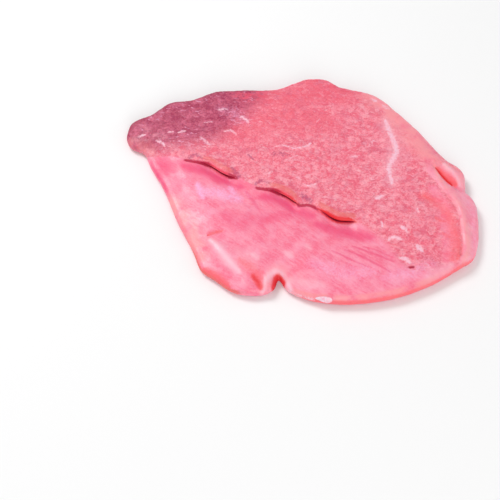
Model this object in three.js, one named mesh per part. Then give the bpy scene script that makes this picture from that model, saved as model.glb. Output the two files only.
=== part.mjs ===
// A raw pork leg steak, cut about a finger thick and lying flat on its underside.
// Two muscles show on the cut face: a coarse one at the back and a smooth one in front.
// They meet at a seam that opens in three scalloped lips. The rim is soft and rounded.
// Millimetres, +Z up, +X to the right, -Y towards the viewer, origin under the middle.

import * as THREE from "three";
import { ImprovedNoise } from "three/addons/math/ImprovedNoise.js";

// Landmarks on the outer edge, clockwise seen from above. Each stretch starts at a corner of
// the mesh: the top of the left tip, the flap, the right front, the notch and the lobe.
const BACK_EDGE = [
  [-98, 46.8], [-86.6, 52.9], [-76.5, 61.4], [-63.8, 63.4], [-48.9, 70.4], [-30.6, 71.7],
  [-12.4, 72.5], [-2.8, 76.7], [6.5, 80.3], [18.4, 80.5], [26.9, 74.6], [47.1, 68],
  [61.3, 53.7], [76.3, 33.2], [87, 16.7],
];
const RIGHT_END = [
  [95.4, 8.3], [96, -5.2], [99.9, -13.4], [100.6, -22], [98.9, -40.8], [94.7, -52.2],
];
const FRONT_EDGE = [
  [87.5, -57.5], [72.1, -67.6], [61, -73], [47.7, -77.6], [31.4, -80.3], [17.9, -80.5],
  [6.6, -78.5], [-2.5, -74.9], [-8.4, -70.8],
];
const LOBE_EDGE = [
  [-12, -64.2], [-14.2, -70.6], [-18.8, -74], [-27.5, -75], [-36.9, -72.7], [-47.9, -64.1],
];
const LEFT_SIDE = [
  [-54.6, -58.5], [-58.5, -47.7], [-69, -24.1], [-76.9, -2.5], [-85.4, 14.4], [-90, 25.2],
  [-97.1, 29], [-100.6, 36.3],
];

// The seam between the two muscles, from the left side to the right end.
const SEAM = [
  [-88.6, 22], [-80, 19.2], [-66.2, 15.4], [-51.7, 12], [-41.8, 4.6], [-34.4, 1.8], [-24.7, -5],
  [-13.9, -7.6], [-5.5, -12.4], [0.5, -17.6], [6.1, -17.9], [13.4, -23], [20.8, -28.4],
  [30.5, -29.6], [40, -35], [56, -39.5], [78, -36], [100.6, -25],
];

// Heights of the cut face above the table.
const UPPER_FACE = 11.2;
const LOWER_FACE = 9.3;
const SHOULDER_DROP = 1.1;
const SHOULDER_WIDTH = 17;
const TIP_DROP = 2.2;
const TIP_REACH = [-70, -99];

// The rim: how far the rounding reaches in, and how the sides lean.
const RIM_FRONT = 4.4;
const RIM_BACK = 3;
const RIM_NOTCH = 2.2;
const RIM_WIDEST = 0.46;
const RIM_UNDER = 2.8;
const RIM_TOP_STEPS = 3;
const RIM_UNDER_STEPS = 2;
const NOTCH = [-11.8, -66];
const SOLE_HUB = [-28, 42];
const NOTCH_REACH = [5, 14];

// Long slopes towards the edge. Facing is the way that the slope looks.
const SLOPES = [
  { facing: [-0.86, -0.51], drop: 3.2, reach: 15 },
  { facing: [0.99, -0.1], drop: 2.6, reach: 8 },
];
const FACING_RANGE = [0.5, 0.92];

// The lips of the seam: where each starts, is full and ends along X, and how far it rises.
const LIPS = [
  { start: -65, full: -48, end: -32, rise: 1.1 },
  { start: -24, full: -9, end: 4, rise: 1.2 },
  { start: 3, full: 19, end: 35, rise: 1.6 },
];
const LIP_END_ROUND = 8;
const LIP_REACH = 8;
const SEAM_BLEND = 9;
// Rows across the seam: steps forward of it when shut and open, and the open drop's share.
const SEAM_ROWS = [
  { shut: -2.6, open: -1.6, fall: 0 },
  { shut: -1.5, open: 0.7, fall: 0.22 },
  { shut: -0.5, open: 1.3, fall: 0.55 },
  { shut: 0.5, open: 0.3, fall: 0.85 },
  { shut: 1.5, open: -0.5, fall: 1.08 },
  { shut: 2.6, open: 2.6, fall: 1 },
];

// Ridges and hollows in the cut face: a path, half width and height at its middle.
const RELIEF = [
  // the rolled fold along the right end, and the hollow inside it
  { path: [[78, 14], [80, -1], [86, -12], [90, -27], [90, -41], [84, -53]], wide: 4, high: 1.5 },
  { path: [[72, -14], [78, -19], [81.5, -29], [81, -41], [77, -50]], wide: 4.4, high: -1.4 },
  // the cleft that sets off the flap at the top right
  { path: [[78.8, 11], [82.6, 5], [86, -0.5], [92.5, -5.6]], wide: 2.8, high: -2.9 },
  // the puckered rim round the notch, and the dimple beside it
  { path: [[-18.6, -68.6], [-17, -63], [-12.4, -60.4], [-8.6, -63.4], [-5.6, -69]], wide: 2.4, high: 1 },
  { path: [[-25.5, -68], [-21.8, -70.4]], wide: 2.6, high: -2 },
  // the tuck in the left side, and the pale fold that runs on from it
  { path: [[-51, -38.6], [-46.8, -37.4], [-42, -36.2]], wide: 1.9, high: -1.3 },
  { path: [[-50, -43], [-44, -50], [-37.5, -58.4], [-28.5, -64.2]], wide: 2.6, high: 0.8 },
  // the hollow that runs along under the lips
  { path: [[-60, 7], [-38, -4], [-20, -13], [-2, -22], [18, -34], [34, -39]], wide: 5, high: -0.5 },
  // low swells of the smooth muscle
  { path: [[-58, -18], [-36, -30]], wide: 12, high: 0.5 },
  { path: [[8, -52], [46, -62]], wide: 12, high: 0.5 },
];

// Soft lumps in the meat: their size, their height behind the seam and in front of it.
const LUMPS = [
  { size: 15, behind: 0.8, front: 0.35 },
  { size: 6.5, behind: 0.55, front: 0.15 },
];
const LUMP_LEVEL = 3.7;

// Fineness of the mesh, in cells.
const COLUMNS = 70;
const COLUMNS_LEFT_OF_NOTCH = 22;
const ROWS_BEHIND = 25;
const ROWS_IN_FRONT = 17;
const CURVE_STEPS = 14;
const SEAM_END_WIDTH = 4.4;
const SEAM_END_BLEND = { left: 0.1, right: 0.25 };
const OUTWARD_SPAN = 2;
const EDGE_TRIES = 400;
const EVENINGS = 120;
const SOFTENINGS = 3;

const SKIN = { color: 0xee8ca0, roughness: 0.42, metalness: 0 };

const smooth = THREE.MathUtils.smoothstep;
const mix = THREE.MathUtils.lerp;
const at = (x, y) => new THREE.Vector2(x, y);
const flat = (points) => points.map(([x, y]) => new THREE.Vector3(x, y, 0));
const noise = new ImprovedNoise();

// A stretch of a curve as evenly spaced points, between two of its parameters.
function evenPoints(curve, from, to, cells) {
  const fine = cells * CURVE_STEPS;
  const points = [];
  const lengths = [0];
  for (let i = 0; i <= fine; i += 1) {
    const p = curve.getPoint(mix(from, to, i / fine));
    points.push(at(p.x, p.y));
    if (i > 0) lengths.push(lengths[i - 1] + points[i].distanceTo(points[i - 1]));
  }
  const whole = lengths[fine];
  const even = [];
  let k = 0;
  for (let c = 0; c <= cells; c += 1) {
    const goal = (whole * c) / cells;
    while (k < fine - 1 && lengths[k + 1] < goal) k += 1;
    const share = (goal - lengths[k]) / (lengths[k + 1] - lengths[k]);
    even.push(points[k].clone().lerp(points[k + 1], Math.min(share, 1)));
  }
  return even;
}

// The outer edge as one closed curve, and the parameters of its corners.
const STRETCHES = [BACK_EDGE, RIGHT_END, FRONT_EDGE, LOBE_EDGE, LEFT_SIDE];
const EDGE = new THREE.CatmullRomCurve3(flat(STRETCHES.flat()), true, "centripetal");
const startOf = (stretch) => {
  const before = STRETCHES.slice(0, STRETCHES.indexOf(stretch)).flat();
  return before.length / STRETCHES.flat().length;
};
const FLAP_AT = startOf(RIGHT_END);
const RIGHT_FRONT_AT = startOf(FRONT_EDGE);
const NOTCH_AT = startOf(LOBE_EDGE);
const LOBE_AT = startOf(LEFT_SIDE);
const SEAM_CURVE = new THREE.CatmullRomCurve3(flat(SEAM), false, "centripetal");

// The parameter of the edge that lies nearest to a point, between two parameters.
function nearestOnEdge([x, y], from, to) {
  const goal = new THREE.Vector3(x, y, 0);
  let best = from;
  let least = Infinity;
  for (let i = 0; i <= EDGE_TRIES; i += 1) {
    const t = mix(from, to, i / EDGE_TRIES);
    const gap = EDGE.getPoint(t).distanceTo(goal);
    if (gap < least) {
      least = gap;
      best = t;
    }
  }
  return best;
}

// One end of the slab, from its back corner to its front one, with room for the seam's rows.
function endPoints(from, to, seamPoint) {
  const middle = nearestOnEdge(seamPoint, from, to);
  const fine = evenPoints(EDGE, from, to, EDGE_TRIES);
  const length = fine[0].distanceTo(fine[1]) * EDGE_TRIES;
  const apart = (SEAM_END_WIDTH / 2 / length) * (to - from);
  return [
    ...evenPoints(EDGE, from, middle - apart, ROWS_BEHIND),
    ...evenPoints(EDGE, middle - apart, middle + apart, SEAM_ROWS.length - 1).slice(1),
    ...evenPoints(EDGE, middle + apart, to, ROWS_IN_FRONT).slice(1),
  ];
}

// The four sides of the slab, as outer-edge points.
const backSide = evenPoints(EDGE, 0, FLAP_AT, COLUMNS);
const rightSide = endPoints(FLAP_AT, RIGHT_FRONT_AT, SEAM.at(-1));
const frontSide = [
  ...evenPoints(EDGE, LOBE_AT, NOTCH_AT, COLUMNS_LEFT_OF_NOTCH),
  ...evenPoints(EDGE, NOTCH_AT, RIGHT_FRONT_AT, COLUMNS - COLUMNS_LEFT_OF_NOTCH).slice(1),
];
const leftSide = endPoints(1, LOBE_AT, SEAM[0]);
const ROWS = rightSide.length - 1;
const FRONT_START = ROWS_BEHIND + SEAM_ROWS.length - 1;

// The whole outer loop, clockwise from the top of the tip, with its outward directions.
const loop = [
  ...backSide.slice(0, -1),
  ...rightSide.slice(0, -1),
  ...frontSide.slice(1).reverse(),
  ...leftSide.slice(1).reverse(),
];
const outward = loop.map((point, i) => {
  const ahead = loop[(i + OUTWARD_SPAN) % loop.length];
  const behind = loop[(i + loop.length - OUTWARD_SPAN) % loop.length];
  return at(behind.y - ahead.y, ahead.x - behind.x).normalize();
});

// The nearest point of the outer loop: how far it is, and its place in the loop.
function nearestLoop(x, y) {
  let least = Infinity;
  let index = 0;
  loop.forEach((p, i) => {
    const gap = Math.hypot(p.x - x, p.y - y);
    if (gap < least) {
      least = gap;
      index = i;
    }
  });
  return { gap: least, index };
}

// How far a point lies from a path of straight pieces, and the share of the path there.
function pathDistance(x, y, path) {
  let least = Infinity;
  let share = 0;
  for (let i = 0; i + 1 < path.length; i += 1) {
    const [ax, ay] = path[i];
    const [bx, by] = path[i + 1];
    const run = (bx - ax) ** 2 + (by - ay) ** 2;
    const along = ((x - ax) * (bx - ax) + (y - ay) * (by - ay)) / run;
    const t = THREE.MathUtils.clamp(along, 0, 1);
    const gap = Math.hypot(ax + (bx - ax) * t - x, ay + (by - ay) * t - y);
    if (gap < least) {
      least = gap;
      share = (i + t) / (path.length - 1);
    }
  }
  return { gap: least, share };
}

// How far each lip of the seam stands open, 0 to 1, at a place along X.
function lipOpenings(x) {
  return LIPS.map(({ start, full, end }) => {
    const rise = smooth(x, start, full);
    return rise * (1 - smooth(x, end - LIP_END_ROUND, end));
  });
}
const opening = (x) => Math.max(...lipOpenings(x));
const lipRise = (x) => lipOpenings(x).reduce((sum, open, i) => sum + open * LIPS[i].rise, 0);

// The height of the cut face at a point behind the seam or in front of it.
const seamPath = evenPoints(SEAM_CURVE, 0, 1, COLUMNS).map((p) => [p.x, p.y]);
function faceHeight(x, y, behind) {
  const { gap, index } = nearestLoop(x, y);
  const seam = pathDistance(x, y, seamPath);
  const open = opening(x);
  const middle = (UPPER_FACE + LOWER_FACE) / 2;
  const own = behind ? UPPER_FACE : LOWER_FACE;
  const near = 1 - smooth(seam.gap, 0, SEAM_BLEND);
  let z = mix(own, middle, near * (1 - open));
  if (behind) z += lipRise(x) * (1 - smooth(seam.gap, 0, LIP_REACH));
  z -= SHOULDER_DROP * (1 - smooth(gap, 0, SHOULDER_WIDTH));
  z -= TIP_DROP * smooth(-x, -TIP_REACH[0], -TIP_REACH[1]);
  for (const { facing, drop, reach } of SLOPES) {
    const looks = outward[index].x * facing[0] + outward[index].y * facing[1];
    z -= drop * smooth(looks, ...FACING_RANGE) * (1 - smooth(gap, 0, reach));
  }
  for (const { path, wide, high } of RELIEF) {
    z += high * Math.exp(-((pathDistance(x, y, path).gap / wide) ** 2));
  }
  for (const lump of LUMPS) {
    const high = behind ? lump.behind : lump.front;
    z += high * noise.noise(x / lump.size, y / lump.size, LUMP_LEVEL);
  }
  return z;
}

// How far in the rounding of the rim starts, at a place in the loop.
function rimReach(i) {
  const back = (outward[i].y + 1) / 2;
  const reach = mix(RIM_FRONT, RIM_BACK, back);
  const away = Math.hypot(loop[i].x - NOTCH[0], loop[i].y - NOTCH[1]);
  return mix(RIM_NOTCH, reach, smooth(away, ...NOTCH_REACH));
}
const inner = loop.map((p, i) => p.clone().addScaledVector(outward[i], -rimReach(i)));

// The inner loop cut into the four sides of the cut face's grid.
const innerBack = inner.slice(0, COLUMNS + 1);
const innerRight = inner.slice(COLUMNS, COLUMNS + ROWS + 1);
const innerFront = inner.slice(COLUMNS + ROWS, 2 * COLUMNS + ROWS + 1).reverse();
const innerLeft = [inner[0], ...inner.slice(2 * COLUMNS + ROWS).reverse()];

// A row that follows the seam at a number of steps towards the front, with set end points.
function seamRow(row, first, last) {
  const line = seamPath.map(([x, y], c) => {
    const [ax, ay] = seamPath[Math.max(c - 1, 0)];
    const [bx, by] = seamPath[Math.min(c + 1, COLUMNS)];
    const long = Math.hypot(bx - ax, by - ay);
    const step = mix(row.shut, row.open, opening(x));
    return at(x + ((by - ay) / long) * step, y - ((bx - ax) / long) * step);
  });
  const shiftFirst = first.clone().sub(line[0]);
  const shiftLast = last.clone().sub(line[COLUMNS]);
  return line.map((p, c) => {
    const start = 1 - smooth(c / COLUMNS, 0, SEAM_END_BLEND.left);
    const end = smooth(c / COLUMNS, 1 - SEAM_END_BLEND.right, 1);
    return p.addScaledVector(shiftFirst, start).addScaledVector(shiftLast, end);
  });
}

// A patch between two long rows and two short ends, blended from its four sides.
function patch(top, bottom, left, right) {
  const rows = left.length - 1;
  const made = [];
  for (let r = 0; r <= rows; r += 1) {
    const v = r / rows;
    const row = [];
    for (let c = 0; c <= COLUMNS; c += 1) {
      const u = c / COLUMNS;
      const blend = (key) => {
        const across = mix(top[c][key], bottom[c][key], v);
        const along = mix(left[r][key], right[r][key], u);
        const topEnds = mix(top[0][key], top[COLUMNS][key], u);
        const bottomEnds = mix(bottom[0][key], bottom[COLUMNS][key], u);
        return across + along - mix(topEnds, bottomEnds, v);
      };
      row.push(at(blend("x"), blend("y")));
    }
    made.push(row);
  }
  return made;
}

// Evens out the cells of a patch: each point moves to where the lines through it balance.
function evened(rows) {
  for (let pass = 0; pass < EVENINGS; pass += 1) {
    for (let r = 1; r + 1 < rows.length; r += 1) {
      for (let c = 1; c < COLUMNS; c += 1) {
        const [left, right] = [rows[r][c - 1], rows[r][c + 1]];
        const [above, below] = [rows[r - 1], rows[r + 1]];
        const across = right.clone().sub(left).divideScalar(2);
        const down = below[c].clone().sub(above[c]).divideScalar(2);
        const skew = below[c + 1].clone().sub(below[c - 1]).sub(above[c + 1]).add(above[c - 1]);
        rows[r][c] = left.clone().add(right).multiplyScalar(down.lengthSq())
          .addScaledVector(above[c].clone().add(below[c]), across.lengthSq())
          .addScaledVector(skew, -across.dot(down) / 2)
          .divideScalar(2 * (down.lengthSq() + across.lengthSq()));
      }
    }
  }
  return rows;
}

// Heights evened out between neighbours, except where the seam stands open.
function softened(rows) {
  const kept = (r, x) => (r >= ROWS_BEHIND && r < FRONT_START + 1 ? opening(x) : 0);
  for (let pass = 0; pass < SOFTENINGS; pass += 1) {
    const before = rows.map((row) => row.map((p) => p.z));
    for (let r = 1; r + 1 < rows.length; r += 1) {
      for (let c = 1; c < COLUMNS; c += 1) {
        const sides = before[r][c - 1] + before[r][c + 1] + before[r - 1][c] + before[r + 1][c];
        const share = (1 - kept(r, rows[r][c].x)) / 2;
        rows[r][c].z = mix(before[r][c], sides / 4, share);
      }
    }
  }
  return rows;
}

// The cut face: the patch behind the seam, the rows across it, and the patch in front.
function cutFace() {
  const seamRows = SEAM_ROWS.map((row, k) => {
    const r = ROWS_BEHIND + k;
    return seamRow(row, innerLeft[r], innerRight[r]);
  });
  const leftBehind = innerLeft.slice(0, ROWS_BEHIND + 1);
  const rightBehind = innerRight.slice(0, ROWS_BEHIND + 1);
  const behind = evened(patch(innerBack, seamRows[0], leftBehind, rightBehind));
  const leftFront = innerLeft.slice(FRONT_START);
  const rightFront = innerRight.slice(FRONT_START);
  const front = evened(patch(seamRows.at(-1), innerFront, leftFront, rightFront));
  const lift = (rows, back) =>
    rows.map((row) => row.map((p) => new THREE.Vector3(p.x, p.y, faceHeight(p.x, p.y, back))));
  const high = lift(behind, true);
  const low = lift(front, false);
  const across = SEAM_ROWS.slice(1, -1).map(({ fall }, k) =>
    seamRows[k + 1].map((p, c) => {
      const evenFall = (k + 1) / (SEAM_ROWS.length - 1);
      const share = mix(evenFall, fall, opening(p.x));
      return new THREE.Vector3(p.x, p.y, mix(high.at(-1)[c].z, low[0][c].z, share));
    }));
  return softened([...high, ...across, ...low]);
}

// A closed mesh that is filled vertex by vertex and face by face.
class Skin {
  points = [];
  faces = [];

  add(p) {
    this.points.push(p);
    return this.points.length - 1;
  }

  // Four corners in turn, split along the shorter diagonal.
  quad(a, b, c, d) {
    const [pa, pb, pc, pd] = [a, b, c, d].map((i) => this.points[i]);
    if (pa.distanceTo(pc) <= pb.distanceTo(pd)) this.faces.push([a, b, c], [a, c, d]);
    else this.faces.push([a, b, d], [b, c, d]);
  }

  geometry() {
    const made = new THREE.BufferGeometry();
    made.setAttribute("position", new THREE.Float32BufferAttribute(
      this.points.flatMap((p) => [p.x, p.y, p.z]), 3));
    made.setIndex(this.faces.flat());
    made.computeVertexNormals();
    return made;
  }
}

// The rings of the rim, from the edge of the cut face round to the flat underside.
function rimRings(top) {
  const rings = [];
  for (let k = 1; k <= RIM_TOP_STEPS; k += 1) {
    const turn = ((k / RIM_TOP_STEPS) * Math.PI) / 2;
    rings.push(top.map((p, i) => {
      const inset = rimReach(i) * (1 - Math.sin(turn));
      const widest = p.z * RIM_WIDEST;
      const edge = loop[i].clone().addScaledVector(outward[i], -inset);
      return new THREE.Vector3(edge.x, edge.y, mix(widest, p.z, Math.cos(turn)));
    }));
  }
  for (let k = 1; k <= RIM_UNDER_STEPS; k += 1) {
    const turn = ((k / RIM_UNDER_STEPS) * Math.PI) / 2;
    rings.push(top.map((p, i) => {
      const inset = Math.min(RIM_UNDER, rimReach(i)) * (1 - Math.cos(turn));
      const widest = p.z * RIM_WIDEST;
      const edge = loop[i].clone().addScaledVector(outward[i], -inset);
      return new THREE.Vector3(edge.x, edge.y, widest * (1 - Math.sin(turn)));
    }));
  }
  return rings;
}

function steakGeometry() {
  const skin = new Skin();
  const grid = cutFace().map((row) => row.map((p) => skin.add(p)));
  for (let r = 0; r < ROWS; r += 1) {
    for (let c = 0; c < COLUMNS; c += 1) {
      skin.quad(grid[r][c], grid[r + 1][c], grid[r + 1][c + 1], grid[r][c + 1]);
    }
  }
  const border = [
    ...grid[0].slice(0, -1),
    ...grid.slice(0, -1).map((row) => row[COLUMNS]),
    ...grid[ROWS].slice(1).reverse(),
    ...grid.slice(1).map((row) => row[0]).reverse(),
  ];
  let above = border;
  for (const ring of rimRings(border.map((i) => skin.points[i]))) {
    const below = ring.map((p) => skin.add(p));
    above.forEach((a, i) => {
      const next = (i + 1) % above.length;
      skin.quad(a, above[next], below[next], below[i]);
    });
    above = below;
  }
  const hub = skin.add(new THREE.Vector3(...SOLE_HUB, 0));
  above.forEach((a, i) => skin.faces.push([a, above[(i + 1) % above.length], hub]));
  return skin.geometry();
}

// The slab, set with the middle of its box over the origin.
function steak() {
  const geometry = steakGeometry();
  geometry.computeBoundingBox();
  const { min, max } = geometry.boundingBox;
  geometry.translate(-(min.x + max.x) / 2, -(min.y + max.y) / 2, -min.z);
  const mesh = new THREE.Mesh(geometry, new THREE.MeshStandardMaterial(SKIN));
  mesh.name = "steak";
  return mesh;
}

const part = new THREE.Group();
part.add(steak());

export default part;
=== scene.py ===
# %% [markdown]
# # A raw pork leg steak
# The steak is one soft slab of meat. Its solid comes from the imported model, which holds the
# outline, the thickness, the lips of the seam and the folds. Here it gets what a solid that is
# light enough to calculate with can't have: bundles of muscle, marbling, wet film and colour.

# %% Load the solid
import math

import bmesh
import bpy
import numpy as np
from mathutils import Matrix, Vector
from mathutils.bvhtree import BVHTree


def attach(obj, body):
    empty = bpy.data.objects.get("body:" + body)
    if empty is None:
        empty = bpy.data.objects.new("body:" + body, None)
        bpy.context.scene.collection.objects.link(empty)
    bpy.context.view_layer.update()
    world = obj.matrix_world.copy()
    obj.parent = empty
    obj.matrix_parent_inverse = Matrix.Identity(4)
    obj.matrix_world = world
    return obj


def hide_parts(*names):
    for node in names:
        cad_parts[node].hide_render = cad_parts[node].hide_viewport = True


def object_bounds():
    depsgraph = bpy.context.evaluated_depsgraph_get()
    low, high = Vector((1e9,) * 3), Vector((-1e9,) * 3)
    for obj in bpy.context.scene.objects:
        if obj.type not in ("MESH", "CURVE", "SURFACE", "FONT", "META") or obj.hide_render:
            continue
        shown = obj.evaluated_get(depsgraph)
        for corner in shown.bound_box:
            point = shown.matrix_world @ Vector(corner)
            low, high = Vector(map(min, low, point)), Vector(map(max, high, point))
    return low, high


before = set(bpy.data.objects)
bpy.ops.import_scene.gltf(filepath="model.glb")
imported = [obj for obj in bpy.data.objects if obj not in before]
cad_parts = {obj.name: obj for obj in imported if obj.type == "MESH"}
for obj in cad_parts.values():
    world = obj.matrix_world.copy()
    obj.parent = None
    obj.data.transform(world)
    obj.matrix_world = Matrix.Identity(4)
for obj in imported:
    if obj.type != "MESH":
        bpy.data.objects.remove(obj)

MM = 0.001
CAD_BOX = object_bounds()
size = (CAD_BOX[1] - CAD_BOX[0]) / MM
print("the solid is", [round(side, 1) for side in size], "mm")

# %% [markdown]
# ## Camera
# The picture was taken from the front and well above, with a long lens, so far edges shrink
# little. The camera comes first, because each later step is judged through it. It looks at a
# point in front of the steak, which leaves the steak in the upper right of the frame.

# %% Camera
ELEVATION = math.radians(54)
AIM = Vector((-27.5, -42.6, 0)) * MM
DISTANCE = 655 * MM
LENS = 85

back = Vector((0, -math.cos(ELEVATION), math.sin(ELEVATION)))
bpy.ops.object.camera_add(location=AIM + back * DISTANCE)
camera = bpy.context.object
camera.rotation_euler = (-back).to_track_quat("-Z", "Y").to_euler()
camera.data.lens = LENS
bpy.context.scene.camera = camera
print("the camera is", round(camera.location.z / MM), "mm above the table")

# %% [markdown]
# ## Light and table
# Studio food light is a large soft box overhead, weaker ones that fill from the front and from
# the right, and white all round. The table is a plain pale plane. The Standard view keeps the
# pinks as mixed.

# %% Light and table
TABLE_SIZE = 8
TABLE_WHITE = (0.92, 0.92, 0.92, 1)
TABLE_ROUGHNESS = 0.8
WORLD_WHITE = (1, 1, 1, 1)
WORLD_STRENGTH = 0.52
SOFT_BOXES = [
    {"name": "overhead", "place": (-0.55, 0.45, 0.9), "side": 0.45, "watts": 6.5},
    {"name": "front_fill", "place": (0.15, -1.1, 0.55), "side": 0.7, "watts": 5.0},
    {"name": "right_fill", "place": (1.0, -0.15, 0.3), "side": 0.6, "watts": 1.7},
]

bpy.ops.mesh.primitive_plane_add(size=TABLE_SIZE)
table = bpy.context.object
table.name = "table"
board = bpy.data.materials.new("pale_table")
board.use_nodes = True
board.node_tree.nodes["Principled BSDF"].inputs["Base Color"].default_value = TABLE_WHITE
board.node_tree.nodes["Principled BSDF"].inputs["Roughness"].default_value = TABLE_ROUGHNESS
table.data.materials.append(board)
for box in SOFT_BOXES:
    bpy.ops.object.light_add(type="AREA", location=box["place"])
    lamp = bpy.context.object
    lamp.name = box["name"]
    lamp.rotation_euler = Vector(box["place"]).to_track_quat("Z", "Y").to_euler()
    lamp.data.size = box["side"]
    lamp.data.energy = box["watts"]
world = bpy.data.worlds.new("white_studio")
bpy.context.scene.world = world
world.use_nodes = True
world.node_tree.nodes["Background"].inputs["Color"].default_value = WORLD_WHITE
world.node_tree.nodes["Background"].inputs["Strength"].default_value = WORLD_STRENGTH
bpy.context.scene.view_settings.view_transform = "Standard"
print("lights:", [box["name"] for box in SOFT_BOXES])

# %% [markdown]
# ## Tools for the work by hand
# An operator acts on all that is selected, so each step starts by selecting one piece alone.
# Faces are then picked in code, by a test on their place. A modifier is added, set and
# applied at once, so that every later step sees the true mesh.

# %% Tools for the work by hand
def only(piece):
    """Selects one piece alone and makes it the active one."""
    bpy.ops.object.select_all(action="DESELECT")
    piece.select_set(True)
    bpy.context.view_layer.objects.active = piece


def edit(piece):
    """Opens a piece in edit mode with all of it picked."""
    only(piece)
    bpy.ops.object.mode_set(mode="EDIT")
    bpy.ops.mesh.select_mode(type="VERT")
    bpy.ops.mesh.select_all(action="SELECT")


def pick(piece, kind, wanted):
    """Picks in edit mode, of VERT, EDGE or FACE, those that pass a test, and no others."""
    bpy.ops.mesh.select_mode(type=kind)
    bpy.ops.mesh.select_all(action="DESELECT")
    mesh = bmesh.from_edit_mesh(piece.data)
    parts = {"VERT": mesh.verts, "EDGE": mesh.edges, "FACE": mesh.faces}[kind]
    for part in [part for part in parts if wanted(part)]:
        part.select_set(True)
    mesh.select_flush_mode()
    bmesh.update_edit_mesh(piece.data)


def shape_with(piece, kind, **settings):
    """Adds a modifier with its settings and applies it."""
    only(piece)
    bpy.ops.object.modifier_add(type=kind)
    modifier = piece.modifiers[-1]
    for name, value in settings.items():
        setattr(modifier, name, value)
    bpy.ops.object.modifier_apply(modifier=modifier.name)


# %% [markdown]
# ## The slab as a net of quads
# The solid's mesh is loose triangles, so a copy of it is merged and its pairs of triangles
# become quads, which subdivide evenly. The flat underside is one fan of long triangles. It is
# deleted, and a grid between the same corners takes its place. The grid needs less detail
# than the face that shows, so it is subdivided once where the rest is subdivided twice, and a
# narrow strip of triangles joins the two. Two loops in one plane can be joined crosswise, so
# the grid is inset by one even step and hangs a little lower until the strip is made.

# %% Open shell
MERGE = 0.01 * MM
FLAT = 0.001 * MM
HALF_TURN = math.pi

steak = bpy.data.objects.new("pork_steak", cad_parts["steak"].data.copy())
bpy.context.collection.objects.link(steak)
steak.data.materials.clear()
only(steak)
bpy.ops.mesh.customdata_custom_splitnormals_clear()
edit(steak)
bpy.ops.mesh.remove_doubles(threshold=MERGE)
pick(steak, "FACE", lambda face: all(vert.co.z < FLAT for vert in face.verts))
bpy.ops.mesh.delete(type="FACE")
bpy.ops.mesh.select_all(action="SELECT")
bpy.ops.mesh.tris_convert_to_quads(
    face_threshold=HALF_TURN, shape_threshold=HALF_TURN, topology_influence=2)
pick(steak, "EDGE", lambda line: line.is_boundary)
bpy.ops.mesh.duplicate()
bpy.ops.mesh.separate(type="SELECTED")
bpy.ops.object.mode_set(mode="OBJECT")
sole = next(piece for piece in bpy.context.selected_objects if piece != steak)
sizes = [len(face.vertices) for face in steak.data.polygons]
print("the shell has", sizes.count(4), "quads and", sizes.count(3), "triangles")

# %% Grid for the underside
SOLE_ROWS = 47
SOLE_CORNER = 47
SOLE_PASSES = 160
SOLE_INSET = 0.7 * MM
SOLE_DROP = 3 * MM

edit(sole)
bpy.ops.mesh.fill_grid(span=SOLE_ROWS, offset=SOLE_CORNER)
pick(sole, "VERT", lambda vert: not vert.is_boundary)
bpy.ops.mesh.vertices_smooth(factor=0.5, repeat=SOLE_PASSES)
bpy.ops.mesh.select_mode(type="FACE")
bpy.ops.mesh.select_all(action="SELECT")
bpy.ops.mesh.inset(thickness=SOLE_INSET, use_boundary=True)
bpy.ops.mesh.select_all(action="INVERT")
bpy.ops.mesh.delete(type="FACE")
pick(sole, "VERT", lambda vert: not vert.is_boundary)
bpy.ops.mesh.vertices_smooth(factor=0.5, repeat=SOLE_PASSES)
bpy.ops.mesh.select_all(action="SELECT")
bpy.ops.transform.translate(value=(0, 0, -SOLE_DROP))
bpy.ops.object.mode_set(mode="OBJECT")
print("the underside has", len(sole.data.polygons), "quads")

# %% Subdivide and close
for piece, levels in ((steak, 2), (sole, 1)):
    shape_with(piece, "SUBSURF", levels=levels, render_levels=levels)
only(steak)
sole.select_set(True)
bpy.ops.object.join()
edit(steak)
pick(steak, "EDGE", lambda line: line.is_boundary)
bpy.ops.mesh.bridge_edge_loops()
pick(steak, "VERT", lambda vert: vert.co.z < -SOLE_DROP / 2)
bpy.ops.transform.translate(value=(0, 0, SOLE_DROP))
bpy.ops.mesh.select_all(action="SELECT")
bpy.ops.mesh.normals_make_consistent(inside=False)
bpy.ops.object.mode_set(mode="OBJECT")
only(steak)
bpy.ops.object.shade_smooth()
flat_faces = [face for face in steak.data.polygons if face.center.z < MERGE]
looking_up = sum(face.normal.z > 0 for face in flat_faces)
print("the closed net has", len(steak.data.polygons), "faces")
print(looking_up, "of the", len(flat_faces), "faces below look up")

# %% [markdown]
# ## Lines and zones of the cut face
# Muscles, marbling and folds lie along lines on the meat. Each line is a few points given in
# mm, seen from above. Every vertex finds the nearest place on the line, and its gap says how
# strongly it belongs there, from 0 to 1. These maps raise the relief and later mix the colours,
# so that a pale streak is also the ridge that it is on real meat, its paleness a painted highlight.

# %% Where the vertices are
count = len(steak.data.vertices)
numbers = np.empty(count * 3)
steak.data.vertices.foreach_get("co", numbers)
places = numbers.reshape(-1, 3) / MM
steak.data.vertex_normals.foreach_get("vector", numbers)
tilt = numbers.reshape(-1, 3).copy()
seen_from_above = places[:, :2]
print("maps have", count, "values")


# %% Gap to a line
def ease(value, low, high):
    """Goes smoothly from 0 at low to 1 at high."""
    share = np.clip((value - low) / (high - low), 0, 1)
    return share * share * (3 - 2 * share)


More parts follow.
